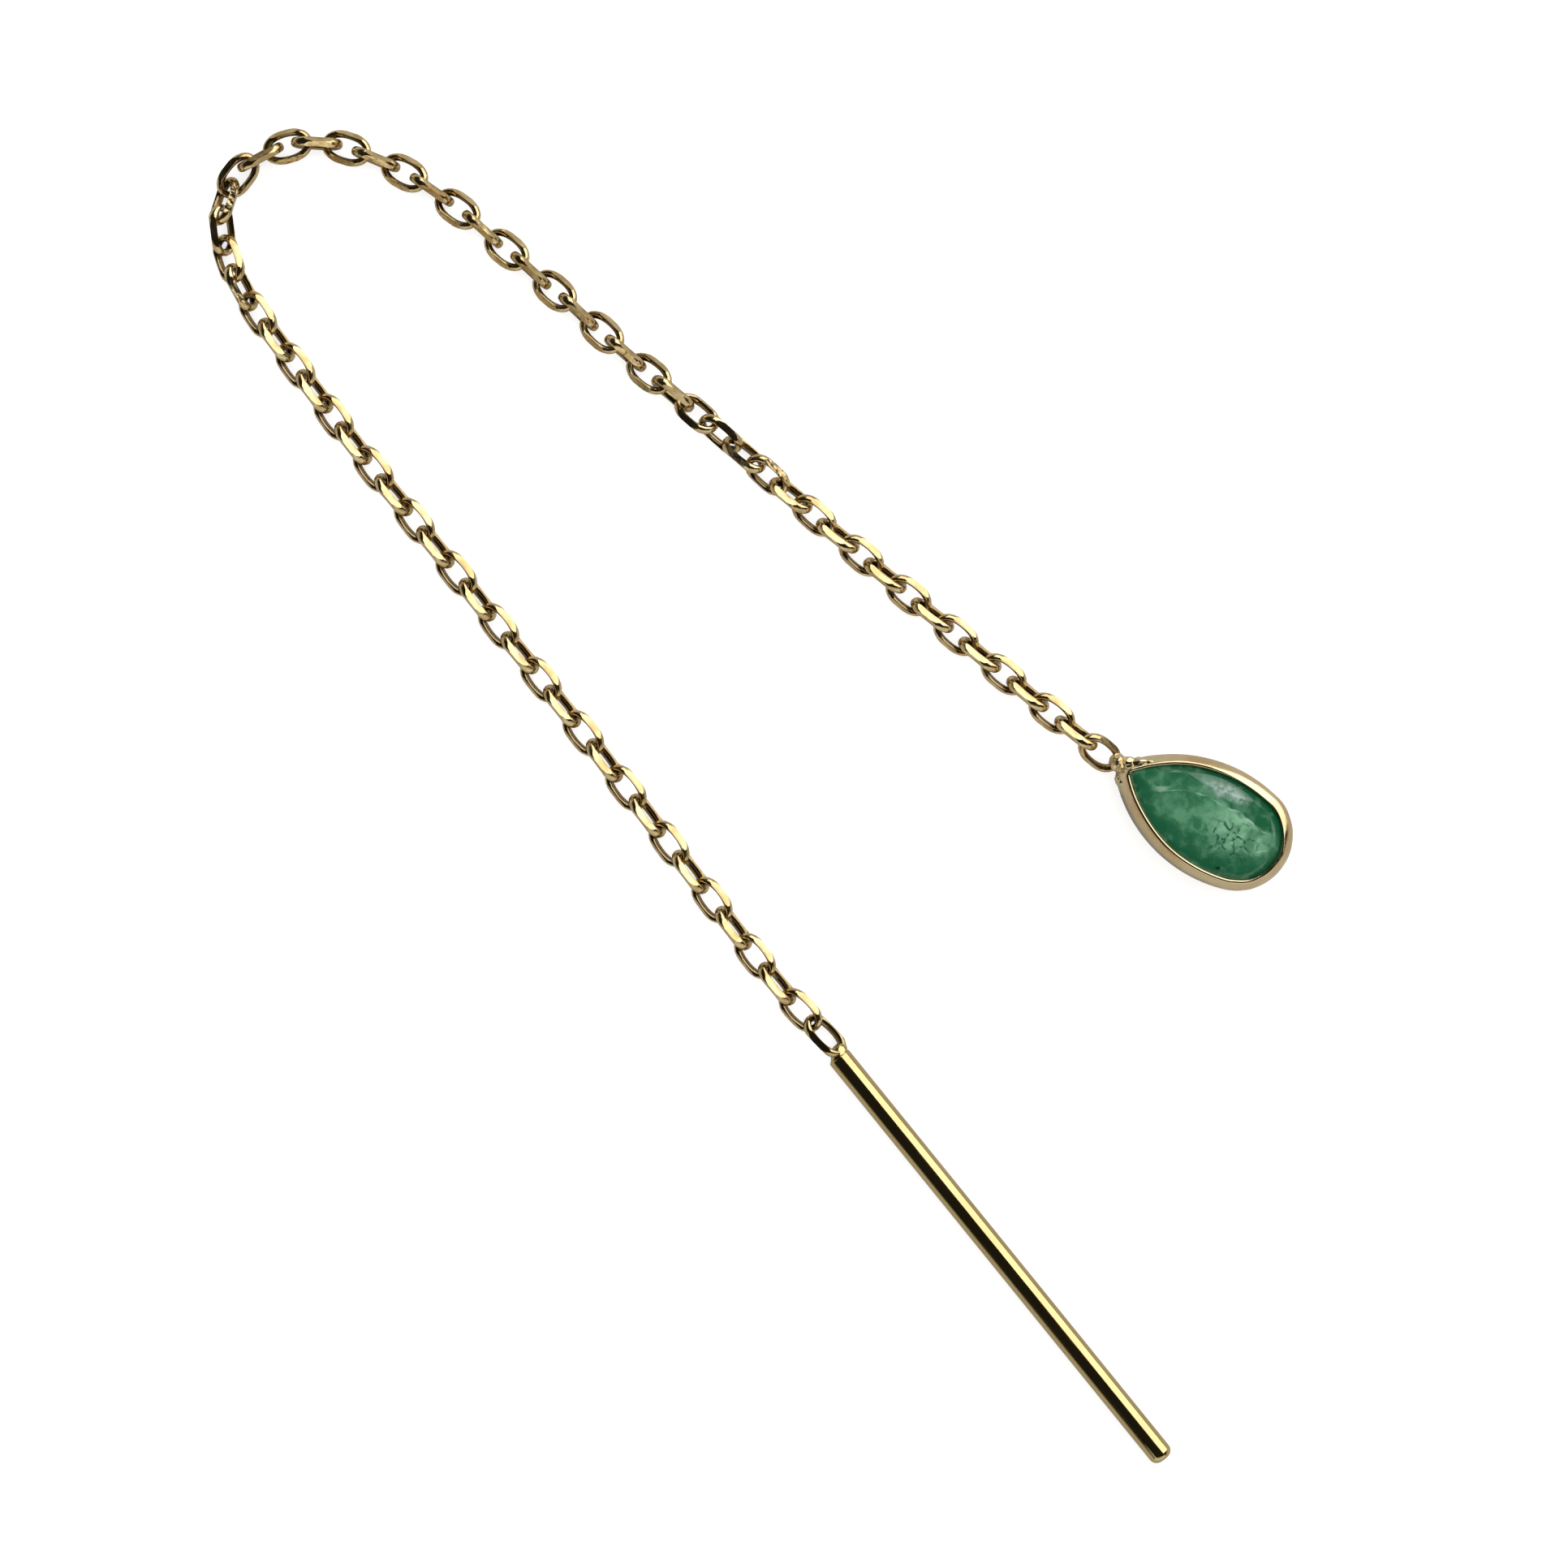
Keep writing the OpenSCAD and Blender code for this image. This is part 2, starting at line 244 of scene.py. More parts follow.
# Pale marks in the stone, in the pendant's own directions: the first six paint a highlight along the
# table's edge, the rest are feathers
# x, y, length, width, turn, strength
FEATHERS_AND_EDGE_HIGHLIGHT = [
    (-1.95, 0.15, 1.60, 0.06, 27, 0.4),
    (-1.00, 0.56, 0.70, 0.07, 14, 0.4),
    (-0.41, 0.62, 0.66, 0.08, -4, 0.35),
    (0.18, 0.62, 0.66, 0.12, 14, 0.45),
    (0.75, 0.56, 0.80, 0.16, -20, 0.65),
    (1.40, 0.54, 0.60, 0.06, 6, 0.4),
    (-2.25, 0.10, 0.85, 0.26, 33, 0.45),
    (1.60, -0.10, 0.60, 0.07, 28, 0.5),
    (0.30, -0.75, 0.55, 0.06, 60, 0.3),
    (1.15, -0.35, 0.50, 0.05, -40, 0.35),
]


# The chain's route and its links' places


def smooth(a, b, c, d, t):
    """Point between b and c on the smooth curve through a, b, c and d."""
    return (
        2 * b + (c - a) * t + (2 * a - 5 * b + 4 * c - d) * t * t + (3 * b - a - 3 * c + d) * t**3
    ) / 2


class ChainRoute:
    """The route as closely spaced rows, with the length along it."""

    def __init__(self, route, steps):
        last = len(route) - 1
        self.rows = []
        for i in range(last):
            four = (route[max(i - 1, 0)], route[i], route[i + 1], route[min(i + 2, last)])
            for k in range(steps):
                self.rows.append([smooth(*column, k / steps) for column in zip(*four)])
        self.rows.append(list(route[last]))
        self.lens = [0.0]
        for before, row in zip(self.rows, self.rows[1:]):
            self.lens.append(self.lens[-1] + math.hypot(row[0] - before[0], row[1] - before[1]))
        self.length = self.lens[-1]

    def at(self, s, name):
        """Value of a column at a length along the route."""
        column = ROUTE_COLUMNS.index(name)
        if s <= 0:
            return self.rows[0][column]
        for i in range(1, len(self.lens)):
            if s <= self.lens[i]:
                share = (s - self.lens[i - 1]) / (self.lens[i] - self.lens[i - 1])
                return self.rows[i - 1][column] * (1 - share) + self.rows[i][column] * share
        return self.rows[-1][column]


def sin_deg(angle):
    return math.sin(math.radians(angle))


def cos_deg(angle):
    return math.cos(math.radians(angle))


def pitch_at(route, s):
    taut = PLAIN_LINK["length"] - 2 * PLAIN_LINK["wire"] - PLAIN_LINK["gap"]
    return taut - route.at(s, "slack")


def joint_places(route):
    """Lengths along the route where one link meets the next."""
    places = [0.0]
    while places[-1] < route.length:
        s = places[-1]
        places.append(s + pitch_at(route, s) * cos_deg(route.at(s, "lean")))
    return [s * route.length / places[-1] for s in places]


def chain_height(lean):
    """Height of the chain's middle where an upright link stands on the surface."""
    wire_r = PLAIN_LINK["wire"] / 2 / cos_deg(180 / PLAIN_LINK["flats"])
    half_len = (PLAIN_LINK["length"] - PLAIN_LINK["wire"]) / 2
    half_width = (PLAIN_LINK["width"] - PLAIN_LINK["wire"]) / 2
    corners = [
        q[0] * half_len * sin_deg(lean) + q[1] * half_width * cos_deg(lean)
        for q in PLAIN_QUARTER
    ]
    return wire_r + max(corners)


def table_value(table, at):
    """Value at a place in a table of (place, value) rows."""
    if at <= table[0][0]:
        return table[0][1]
    for (low, one), (high, other) in zip(table, table[1:]):
        if at <= high:
            return one + (other - one) * (at - low) / (high - low)
    return table[-1][1]


def chain_joints(route, places):
    """Where one link meets the next; the joints of a leaning run are low and high by turns."""
    joints = []
    for i, s in enumerate(places):
        lean = table_value(SEEN_LEAN, i)
        rise = pitch_at(route, s) * math.tan(math.radians(lean)) / 2
        height = chain_height(lean) + route.at(s, "lift") + (-rise if i % 2 == 0 else rise)
        joints.append(Vector((route.at(s, "x"), route.at(s, "y"), height + table_value(SEEN_RISE, i))))
    return joints


def link_frames(route, places, joints):
    """Middle, direction along and direction across of each link."""
    frames = []
    for i in range(len(joints) - 1):
        along = (joints[i + 1] - joints[i]).normalized()
        left = Vector((-along.y, along.x, 0)).normalized()
        up = along.cross(left)
        roll_there = route.at((places[i] + places[i + 1]) / 2, "roll")
        roll = roll_there + 90 * (i % 2) + table_value(SEEN_TURN, i)
        across = left * cos_deg(roll) + up * sin_deg(roll)
        frames.append(((joints[i] + joints[i + 1]) / 2, along, across))
    return frames


# Mesh helpers


def link_ring(share, size):
    """Centre, outward direction and wire radius at one place of a link's loop."""
    half_len = (size["length"] - size["end_wire"]) / 2
    ridge = size["side_wire"] / 2 - size["cut_depth"]
    half_width = size["width"] / 2 - ridge * math.sqrt(2)
    power = 2 / size["squareness"]

    def centre(part):
        c = math.cos(2 * math.pi * part)
        s = math.sin(2 * math.pi * part)
        x = half_len * math.copysign(abs(c) ** power, c)
        y = half_width * math.copysign(abs(s) ** power, s)
        return Vector((x, y, 0))

    along = centre(share + 0.01) - centre(share - 0.01)
    out = Vector((along.y, -along.x, 0)).normalized()
    middle = centre(share)
    end = (middle.x / half_len) ** 2
    radius = (size["side_wire"] * (1 - end) + size["end_wire"] * end) / 2
    return middle, out, radius


def link_bmesh(size):
    """A link in its own plane: x along the chain, y across."""
    bm = bmesh.new()
    painted_inner_shade = bm.verts.layers.float.new("painted_inner_shade")
    rings = []
    count = size["loop_points"]
    for k in range(count):
        middle, out, radius = link_ring(k / count, size)
        ring = []
        for j in range(size["wire_points"]):
            turn = 2 * math.pi * (j + 0.5) / size["wire_points"]
            high = Vector((0, 0, radius * size["thick"] * math.sin(turn)))
            point = middle + out * radius * math.cos(turn) + high
            ring.append(bm.verts.new(point * MM))
            # painted shade: full on the inner side of the loop, fading to none on its outer side
            ring[-1][painted_inner_shade] = max(0.0, 0.35 - math.cos(turn)) / 1.35
        rings.append(ring)
    join_rings(bm, rings, closed=True)
    for face in bm.faces:
        face.smooth = True
    side, _, radius = link_ring(0.25, size)
    reach = radius * math.sqrt((1 + size["thick"] ** 2) / 2)
    distance = side.y / math.sqrt(2) + reach - size["cut_depth"]
    for across in (1, -1):
        for up in (1, -1):
            normal = Vector((0, across, up)).normalized()
            slice_flat(bm, normal * distance * MM, normal)
    bmesh.ops.recalc_face_normals(bm, faces=bm.faces[:])
    return bm


def slice_flat(bm, point, normal):
    """Takes away all that lies beyond a plane and closes the cut with sharp-edged flats."""
    before = set(bm.faces)
    got = bmesh.ops.bisect_plane(
        bm, geom=bm.verts[:] + bm.edges[:] + bm.faces[:], plane_co=point, plane_no=normal, clear_outer=True
    )
    edges = [e for e in got["geom_cut"] if isinstance(e, bmesh.types.BMEdge) and e.is_boundary]
    bmesh.ops.edgenet_fill(bm, edges=edges)
    for edge in edges:
        edge.smooth = False
    for face in set(bm.faces) - before:
        if abs(face.normal.dot(normal)) > 0.999:
            face.smooth = False


def join_rings(bm, rings, closed=False):
    """Quads between neighbouring rings of the same length."""
    pairs = list(zip(rings, rings[1:]))
    if closed:
        pairs.append((rings[-1], rings[0]))
    for one, other in pairs:
        for j in range(len(one)):
            k = (j + 1) % len(one)
            bm.faces.new((one[j], one[k], other[k], other[j]))


def piece_from(bm, name, material, matrix=None):
    """A finished piece: its place is in its mesh."""
    if matrix is not None:
        bmesh.ops.transform(bm, matrix=matrix, verts=bm.verts[:])
    mesh = bpy.data.meshes.new(name)
    bm.to_mesh(mesh)
    bm.free()
    mesh.materials.append(material)
    piece = bpy.data.objects.new(name, mesh)
    bpy.context.scene.collection.objects.link(piece)
    return piece


def lowest_link(frames, size):
    """The lowest height that the links that are seen reach."""
    heights = []
    for middle, along, across in frames:
        face = along.cross(across)
        for k in range(size["loop_points"]):
            at, out, radius = link_ring(k / size["loop_points"], size)
            centre = middle.z + along.z * at.x + across.z * at.y
            tall = radius * math.hypot(along.z * out.x + across.z * out.y, face.z * size["thick"])
            heights.append(centre - tall)
    return min(heights)


def frame_matrix(middle, along, across):
    """Places a link that was made in its own plane."""
    face = along.cross(across)
    matrix = Matrix((along, across, face)).transposed().to_4x4()
    matrix.translation = middle * MM
    return matrix


def add_mesh(bm, other, matrix, metal=0):
    """Adds a bmesh to another one, moved by a matrix, with the piece's metal of that number."""
    bmesh.ops.transform(other, matrix=matrix, verts=other.verts[:])
    for face in other.faces:
        face.material_index = metal
    mesh = bpy.data.meshes.new("joining")
    other.to_mesh(mesh)
    other.free()
    bm.from_mesh(mesh)
    bpy.data.meshes.remove(mesh)


# The chain


def put_node(tree, kind, x, y, **values):
    """A node at a place in its tree, with its properties set."""
    node = tree.nodes.new(kind)
    node.location = (x, y)
    for name, value in values.items():
        setattr(node, name, value)
    return node


def chain_tree():
    """Puts a link on each point, turned by the point's own directions."""
    tree = bpy.data.node_groups.new("links_on_route", "GeometryNodeTree")
    inputs = (
        ("Link Places", "NodeSocketGeometry"),
        ("Link", "NodeSocketObject"),
        ("Link Size", "NodeSocketFloat"),
        ("Wobble", "NodeSocketFloat"),
        ("Seed", "NodeSocketInt"),
        ("Metal", "NodeSocketMaterial"),
    )
    for name, kind in inputs:
        tree.interface.new_socket(name=name, in_out="INPUT", socket_type=kind)
    tree.interface.new_socket(name="Chain", in_out="OUTPUT", socket_type="NodeSocketGeometry")
    entry = put_node(tree, "NodeGroupInput", -900, 0)
    along = put_node(tree, "GeometryNodeInputNamedAttribute", -700, 250, data_type="FLOAT_VECTOR")
    along.inputs["Name"].default_value = "along"
    across = put_node(tree, "GeometryNodeInputNamedAttribute", -700, 100, data_type="FLOAT_VECTOR")
    across.inputs["Name"].default_value = "across"
    turn = put_node(tree, "FunctionNodeAxesToRotation", -500, 200, primary_axis="X", secondary_axis="Y")
    low = put_node(tree, "ShaderNodeMath", -700, -200, operation="MULTIPLY")
    low.inputs[1].default_value = -1
    wobble = put_node(tree, "FunctionNodeRandomValue", -500, -150, data_type="FLOAT_VECTOR")
    as_turn = put_node(tree, "FunctionNodeEulerToRotation", -320, -150)
    both = put_node(tree, "FunctionNodeRotateRotation", -300, 100, rotation_space="LOCAL")
    shape = put_node(tree, "GeometryNodeObjectInfo", -500, -350)
    put = put_node(tree, "GeometryNodeInstanceOnPoints", -100, 0)
    real = put_node(tree, "GeometryNodeRealizeInstances", 100, 0)
    dress = put_node(tree, "GeometryNodeSetMaterial", 300, 0)
    leave = put_node(tree, "NodeGroupOutput", 500, 0)
    join = tree.links.new
    join(along.outputs["Attribute"], turn.inputs["Primary Axis"])
    join(across.outputs["Attribute"], turn.inputs["Secondary Axis"])
    join(entry.outputs["Wobble"], low.inputs[0])
    join(low.outputs[0], wobble.inputs["Min"])
    join(entry.outputs["Wobble"], wobble.inputs["Max"])
    join(entry.outputs["Seed"], wobble.inputs["Seed"])
    join(wobble.outputs["Value"], as_turn.inputs["Euler"])
    join(turn.outputs["Rotation"], both.inputs["Rotation"])
    join(as_turn.outputs["Rotation"], both.inputs["Rotate By"])
    join(entry.outputs["Link"], shape.inputs["Object"])
    join(entry.outputs["Link Places"], put.inputs["Points"])
    join(shape.outputs["Geometry"], put.inputs["Instance"])
    join(both.outputs["Rotation"], put.inputs["Rotation"])
    join(entry.outputs["Link Size"], put.inputs["Scale"])
    join(put.outputs["Instances"], real.inputs["Geometry"])
    join(real.outputs["Geometry"], dress.inputs["Geometry"])
    join(entry.outputs["Metal"], dress.inputs["Material"])
    join(dress.outputs["Geometry"], leave.inputs["Chain"])
    return tree


def set_input(modifier, name, value):
    """Sets one of a node modifier's inputs by its name in the tree."""
    for item in modifier.node_group.interface.items_tree:
        if item.item_type == "SOCKET" and item.in_out == "INPUT" and item.name == name:
            modifier[item.identifier] = value


def chain_piece(name, frames, link, tree, gold, seed):
    """A run of links as one plain mesh."""
    mesh = bpy.data.meshes.new(name + "_places")
    mesh.from_pydata([middle * MM for middle, _, _ in frames], [], [])
    for column, key in ((1, "along"), (2, "across")):
        attribute = mesh.attributes.new(key, "FLOAT_VECTOR", "POINT")
        attribute.data.foreach_set("vector", [value for frame in frames for value in frame[column]])
    source = bpy.data.objects.new(name + "_places", mesh)
    bpy.context.scene.collection.objects.link(source)
    modifier = source.modifiers.new("links", "NODES")
    modifier.node_group = tree
    set_input(modifier, "Link", link)
    set_input(modifier, "Link Size", 1.0)
    set_input(modifier, "Wobble", math.radians(1.6))
    set_input(modifier, "Seed", seed)
    set_input(modifier, "Metal", gold)
    graph = bpy.context.evaluated_depsgraph_get()
    made = bpy.data.meshes.new_from_object(source.evaluated_get(graph))
    made.name = name
    source.modifiers.remove(modifier)
    bpy.data.objects.remove(source)
    piece = bpy.data.objects.new(name, made)
    bpy.context.scene.collection.objects.link(piece)
    return piece


# The needle


def needle_bmesh(head, link_end):
    """A round bar with a blunt tip; its solder runs up to the end of the first link."""
    r = NEEDLE["d"] / 2
    tip = NEEDLE["tip_r"]
    count = 48
    stations = [
        (-NEEDLE["length"], 0.02, 0.0),
        (-NEEDLE["length"] + 0.012, (r - tip) * 0.6, 0.0),
    ]
    for step in range(9):
        turn = math.pi / 2 * step / 8
        tip_place = -NEEDLE["length"] + 0.02 + tip * (1 - math.cos(turn))
        stations.append((tip_place, r - tip + tip * math.sin(turn), 0.0))
    for step in range(1, 30):
        stations.append((-NEEDLE["length"] + 0.5 + (NEEDLE["length"] - 0.6) * step / 30, r, 0.0))
    for step in range(5):
        turn = math.pi / 2 * step / 4
        stations.append((-0.04 + 0.04 * math.sin(turn), r - 0.04 + 0.04 * math.cos(turn), 0.0))
    shift = link_end.x - head.x
    for along, radius, share in NEEDLE["solder"]:
        stations.append((along, radius, shift * share))
    rng = random.Random(4)
    bm = bmesh.new()
    bm.verts.layers.float.new("painted_inner_shade")
    rings = []
    for along, radius, side in stations:
        ring = []
        lump = 0.014 if along > 0.01 else 0.0
        for j in range(count):
            turn = 2 * math.pi * j / count
            uneven = radius + lump * math.sin(3 * turn + along * 12) + lump * 0.2 * rng.uniform(-1, 1)
            ring.append(
                bm.verts.new(
                    (head + Vector((side + uneven * math.cos(turn), along, uneven * math.sin(turn)))) * MM
                )
            )
        rings.append(ring)
    join_rings(bm, rings)
    bm.faces.new(rings[0])
    bm.faces.new(rings[-1])
    for face in bm.faces:
        face.smooth = True
    bmesh.ops.recalc_face_normals(bm, faces=bm.faces[:])
    return bm


# The stone and its setting


def stone_outline():
    """The four arcs of the stone's outline: a function of facing and distance out."""
    half = STONE["width"] / 2
    tip_r = STONE["tip_r"]
    tip_x = -(STONE["length"] - STONE["belly"] - tip_r)
    side_r = (tip_x**2 + half**2 - tip_r**2) / (STONE["width"] - 2 * tip_r)
    side_y = side_r - half
    end_x = (side_y**2 - (side_r - STONE["belly"]) ** 2) / (2 * (side_r - STONE["belly"]))
    end_r = STONE["belly"] - end_x
    end_turn = math.degrees(math.atan2(side_y, end_x))
    tip_turn = math.degrees(math.atan2(side_y, tip_x))

    def point(facing, out=0.0):
        turn = (facing + 180) % 360 - 180
        side = -1 if turn < 0 else 1
        c, s = cos_deg(turn), sin_deg(turn)
        if abs(turn) <= end_turn:
            return Vector((end_x + (end_r + out) * c, (end_r + out) * s, 0))
        if abs(turn) >= tip_turn:
            return Vector((tip_x + (tip_r + out) * c, (tip_r + out) * s, 0))
        return Vector(((side_r + out) * c, (side_r + out) * s - side * side_y, 0))

    return point


def pendant_matrix():
    """From the pendant's own directions, tip to -x, to its place."""
    turn = Matrix.Rotation(math.radians(BEZEL["turn"]), 4, "Z")
    return Matrix.Translation(Vector((*BEZEL["place"], 0)) * MM) @ turn


def stone_heights():
    """Heights of the girdle's lower edge and of its upper one, where the crown begins."""
    girdle = STONE["culet_gap"] + STONE["pavilion"]
    return girdle, girdle + STONE["girdle"]


def near_shoulder(at):
    """1 where a place lies towards the crown's shoulder, 0 opposite it."""
    return (1 + cos_deg(math.degrees(math.atan2(at.y, at.x)) - DOME["shoulder"])) / 2


def rim_width(at):
    return DOME["rim"][0] + DOME["rim"][1] * near_shoulder(at)


def dome_height(at, inset):
    """Height of the worn crown over a place at a distance in from the stone's edge."""
    near = near_shoulder(at)
    rim = rim_width(at)
    crease = DOME["crease"][0] + DOME["crease"][1] * near
    if inset <= rim:
        slope = DOME["rim_slope"][0] + DOME["rim_slope"][1] * min(1, 1.5 * near)
        return max(crease - (rim - inset) * math.tan(math.radians(slope)), DOME["foot"])
    share = 1 - (inset - rim) / (STONE["width"] / 2 - rim)
    return crease + (DOME["top"] - crease) * (1 - max(share, 0) ** (2.1 - 0.6 * near))


def stone_bmesh(point):
    """A block on the stone's outline under a worn dome, with each facet sliced from it."""
    girdle, crown = stone_heights()
    bm = bmesh.new()
    facings = [k * 3.75 for k in range(96)]

    even = DOME["even_rim"]
    half = STONE["width"] / 2

    def ring(inset, height=None):
        verts = []
        for f in facings:
            at = point(f, -inset)
            z = dome_height(at, inset) if height is None else height
            verts.append(bm.verts.new((at + Vector((0, 0, z))) * MM))
        return verts

    def drawn_ring(way):
        """From the crease, at 0, to the middle, at 1, drawn in so that its tip stays clean."""
        verts = []
        for f in facings:
            at = point(f, -even)
            rim = rim_width(at)
            at *= (1 - (rim - even) / (half - even)) * (1 - way)
            z = dome_height(at, rim + way * (half - rim))
            verts.append(bm.verts.new((at + Vector((0, 0, z))) * MM))
        return verts

    rings = [ring(0, STONE["culet_gap"]), ring(0, crown), ring(0), ring(0.1), ring(even)]
    rings += [drawn_ring(step / 10) for step in range(10)]
    crease = rings[5]
    join_rings(bm, rings)
    bm.faces.new(rings[0])
    bm.faces.new(rings[-1])
    for face in bm.faces:
        face.smooth = True
    edge_of = {frozenset((crease[k], crease[k + 1])) for k in range(3, 40)}
    for edge in bm.edges:
        if frozenset(edge.verts) in edge_of:
            edge.smooth = False
    bmesh.ops.recalc_face_normals(bm, faces=bm.faces[:])
    slice_flat(bm, Vector((0, 0, DOME["table"])) * MM, Vector((0, 0, 1)))
    for facing, inset, slope, depth in CROWN_FACETS:
        middle = point(facing, -inset)
        middle += Vector((0, 0, dome_height(middle, inset) - depth))
        way = Vector((sin_deg(slope) * cos_deg(facing), sin_deg(slope) * sin_deg(facing), cos_deg(slope)))
        slice_flat(bm, middle * MM, way)
    for facing, slope, start in PAVILION_FACETS:
        for side in (1,) if facing % 180 == 0 else (1, -1):
            edge = point(side * facing) + Vector((0, 0, girdle - start * STONE["pavilion"]))
            way = Vector(
                (
                    sin_deg(slope) * cos_deg(side * facing),
                    sin_deg(slope) * sin_deg(side * facing),
                    -cos_deg(slope),
                )
            )
            slice_flat(bm, edge * MM, way)
    bmesh.ops.remove_doubles(bm, verts=bm.verts[:], dist=0.002 * MM)
    bmesh.ops.recalc_face_normals(bm, faces=bm.faces[:])
    return bm


def bezel_section(facing):
    """The bezel's section: distance out of the stone's outline, height.

    The wall is pressed over the stone, so it leans in more and more, and further where the
    maker has leant on it harder. Its inner edge is rubbed round.
    """
    girdle, crown = stone_heights()
    out = BEZEL["gap"] + BEZEL["wall"]
    top = crown + BEZEL["lip"] + 0.04
    under = crown + 0.1 * STONE["crown"]
    bearing = girdle - PAVILION_START * STONE["pavilion"] - 0.04
    off = facing - BEZEL["pressed_at"]
    pressed = max(0.0, min(1.0, 1.6 * cos_deg(min(90.0, abs(off) * (2.4 if off > 0 else 1.5)))))
    by_hand = 4 * sin_deg(facing * 6 + 40) + 3 * sin_deg(facing * 11)
    lean = 42 + (34 + by_hand) * pressed
    edge = BEZEL["edge_r"] * (1 - 0.7 * pressed)
    middle = -BEZEL["reach"] + edge
    meet = middle + edge * cos_deg(lean)
    radius = (out - meet) / (1 - cos_deg(lean))
    start = top - edge + edge * sin_deg(lean) - radius * sin_deg(lean)
    bearing_edge = -BEZEL["bearing"]
    section = [(bearing_edge + 0.02, 0.0), (bearing_edge + 0.05, 0.0), (out - 0.03, 0.0), (out, 0.03)]
    section += [(out, start * 0.4), (out, start * 0.8)]
    for step in range(11):
        turn = lean * step / 10
        section.append((out - radius * (1 - cos_deg(turn)), start + radius * sin_deg(turn)))
    for step in range(1, 9):
        turn = lean + (180 - lean) * step / 8
        section.append((middle + edge * cos_deg(turn), top - edge + edge * sin_deg(turn)))
    section += [
        (-BEZEL["reach"], under + 0.06),
        (0.02, under),
        (0.03, bearing),
        (-BEZEL["bearing"], bearing - 0.22),
        (-BEZEL["bearing"], 0.02),
    ]
    return section


def bezel_bmesh(point):
    bm = bmesh.new()
    bm.verts.layers.float.new("painted_inner_shade")
    rings = []
    for k in range(144):
        facing = -180 + 2.5 * k
        # hammered and burnished by hand, so its edge isn't quite even
        hand = 0.006 * math.sin(math.radians(facing) * 7 + 0.6)
        hand += 0.004 * math.sin(math.radians(facing) * 13)
        ring = []
        for out, z in bezel_section(facing):
            uneven = hand if z > 1.4 else 0.0
            ring.append(bm.verts.new((point(facing, out + uneven) + Vector((0, 0, z))) * MM))
        rings.append(ring)
    join_rings(bm, rings, closed=True)
    for face in bm.faces:
        face.smooth = True
    bmesh.ops.recalc_face_normals(bm, faces=bm.faces[:])
    for edge in bm.edges:
        if edge.is_manifold and edge.calc_face_angle() > math.radians(35):
            edge.smooth = False
    return bm


def lump_bmesh(middle, sizes, turn, seed):
    """A lump of solder: it ran smooth, but it isn't even, and the burnisher left a few flats on it."""
    bm = bmesh.new()
    bmesh.ops.create_icosphere(bm, subdivisions=4, radius=1.0)
    shift = Vector((seed * 3.7, seed * 1.3, 0))
    for vert in bm.verts:
        vert.co *= 1 + 0.15 * noise_at(vert.co * 1.7 + shift)
    for face in bm.faces:
        face.smooth = True
    rng = random.Random(seed)
    for _ in range(4):
        way = Vector((rng.uniform(-1, 1), rng.uniform(-1, 1), rng.uniform(0.2, 1))).normalized()
        slice_flat(bm, way * rng.uniform(0.88, 0.96), way)
    place = Matrix.Translation(middle * MM) @ Matrix.Rotation(math.radians(turn), 4, "Z")
    scale = Matrix.Diagonal(Vector((sizes[0], sizes[1], sizes[2])) * MM / 2).to_4x4()
    bmesh.ops.transform(bm, matrix=place @ scale, verts=bm.verts[:])
    return bm


# Materials


def mix_color(tree, x, y, low, high):
    """A colour mix whose factor comes from elsewhere."""
    node = put_node(tree, "ShaderNodeMix", x, y, data_type="RGBA")
    node.inputs["A"].default_value = (*low, 1)
    node.inputs["B"].default_value = (*high, 1)
    return node


def map_range(tree, x, y, source, low, high, to_low=0.0, to_high=1.0):
    node = put_node(tree, "ShaderNodeMapRange", x, y, interpolation_type="SMOOTHSTEP")
    node.inputs["From Min"].default_value = low
    node.inputs["From Max"].default_value = high
    node.inputs["To Min"].default_value = to_low
    node.inputs["To Max"].default_value = to_high
    tree.links.new(source, node.inputs["Value"])
    return node.outputs["Result"]


def noise(tree, x, y, vector, scale, detail=3.0, distortion=0.0):
    node = put_node(tree, "ShaderNodeTexNoise", x, y)
    tree.links.new(vector, node.inputs["Vector"])
    if hasattr(scale, "node"):
        tree.links.new(scale, node.inputs["Scale"])
    else:
        node.inputs["Scale"].default_value = scale
    node.inputs["Detail"].default_value = detail
    node.inputs["Distortion"].default_value = distortion
    return node.outputs["Fac"]


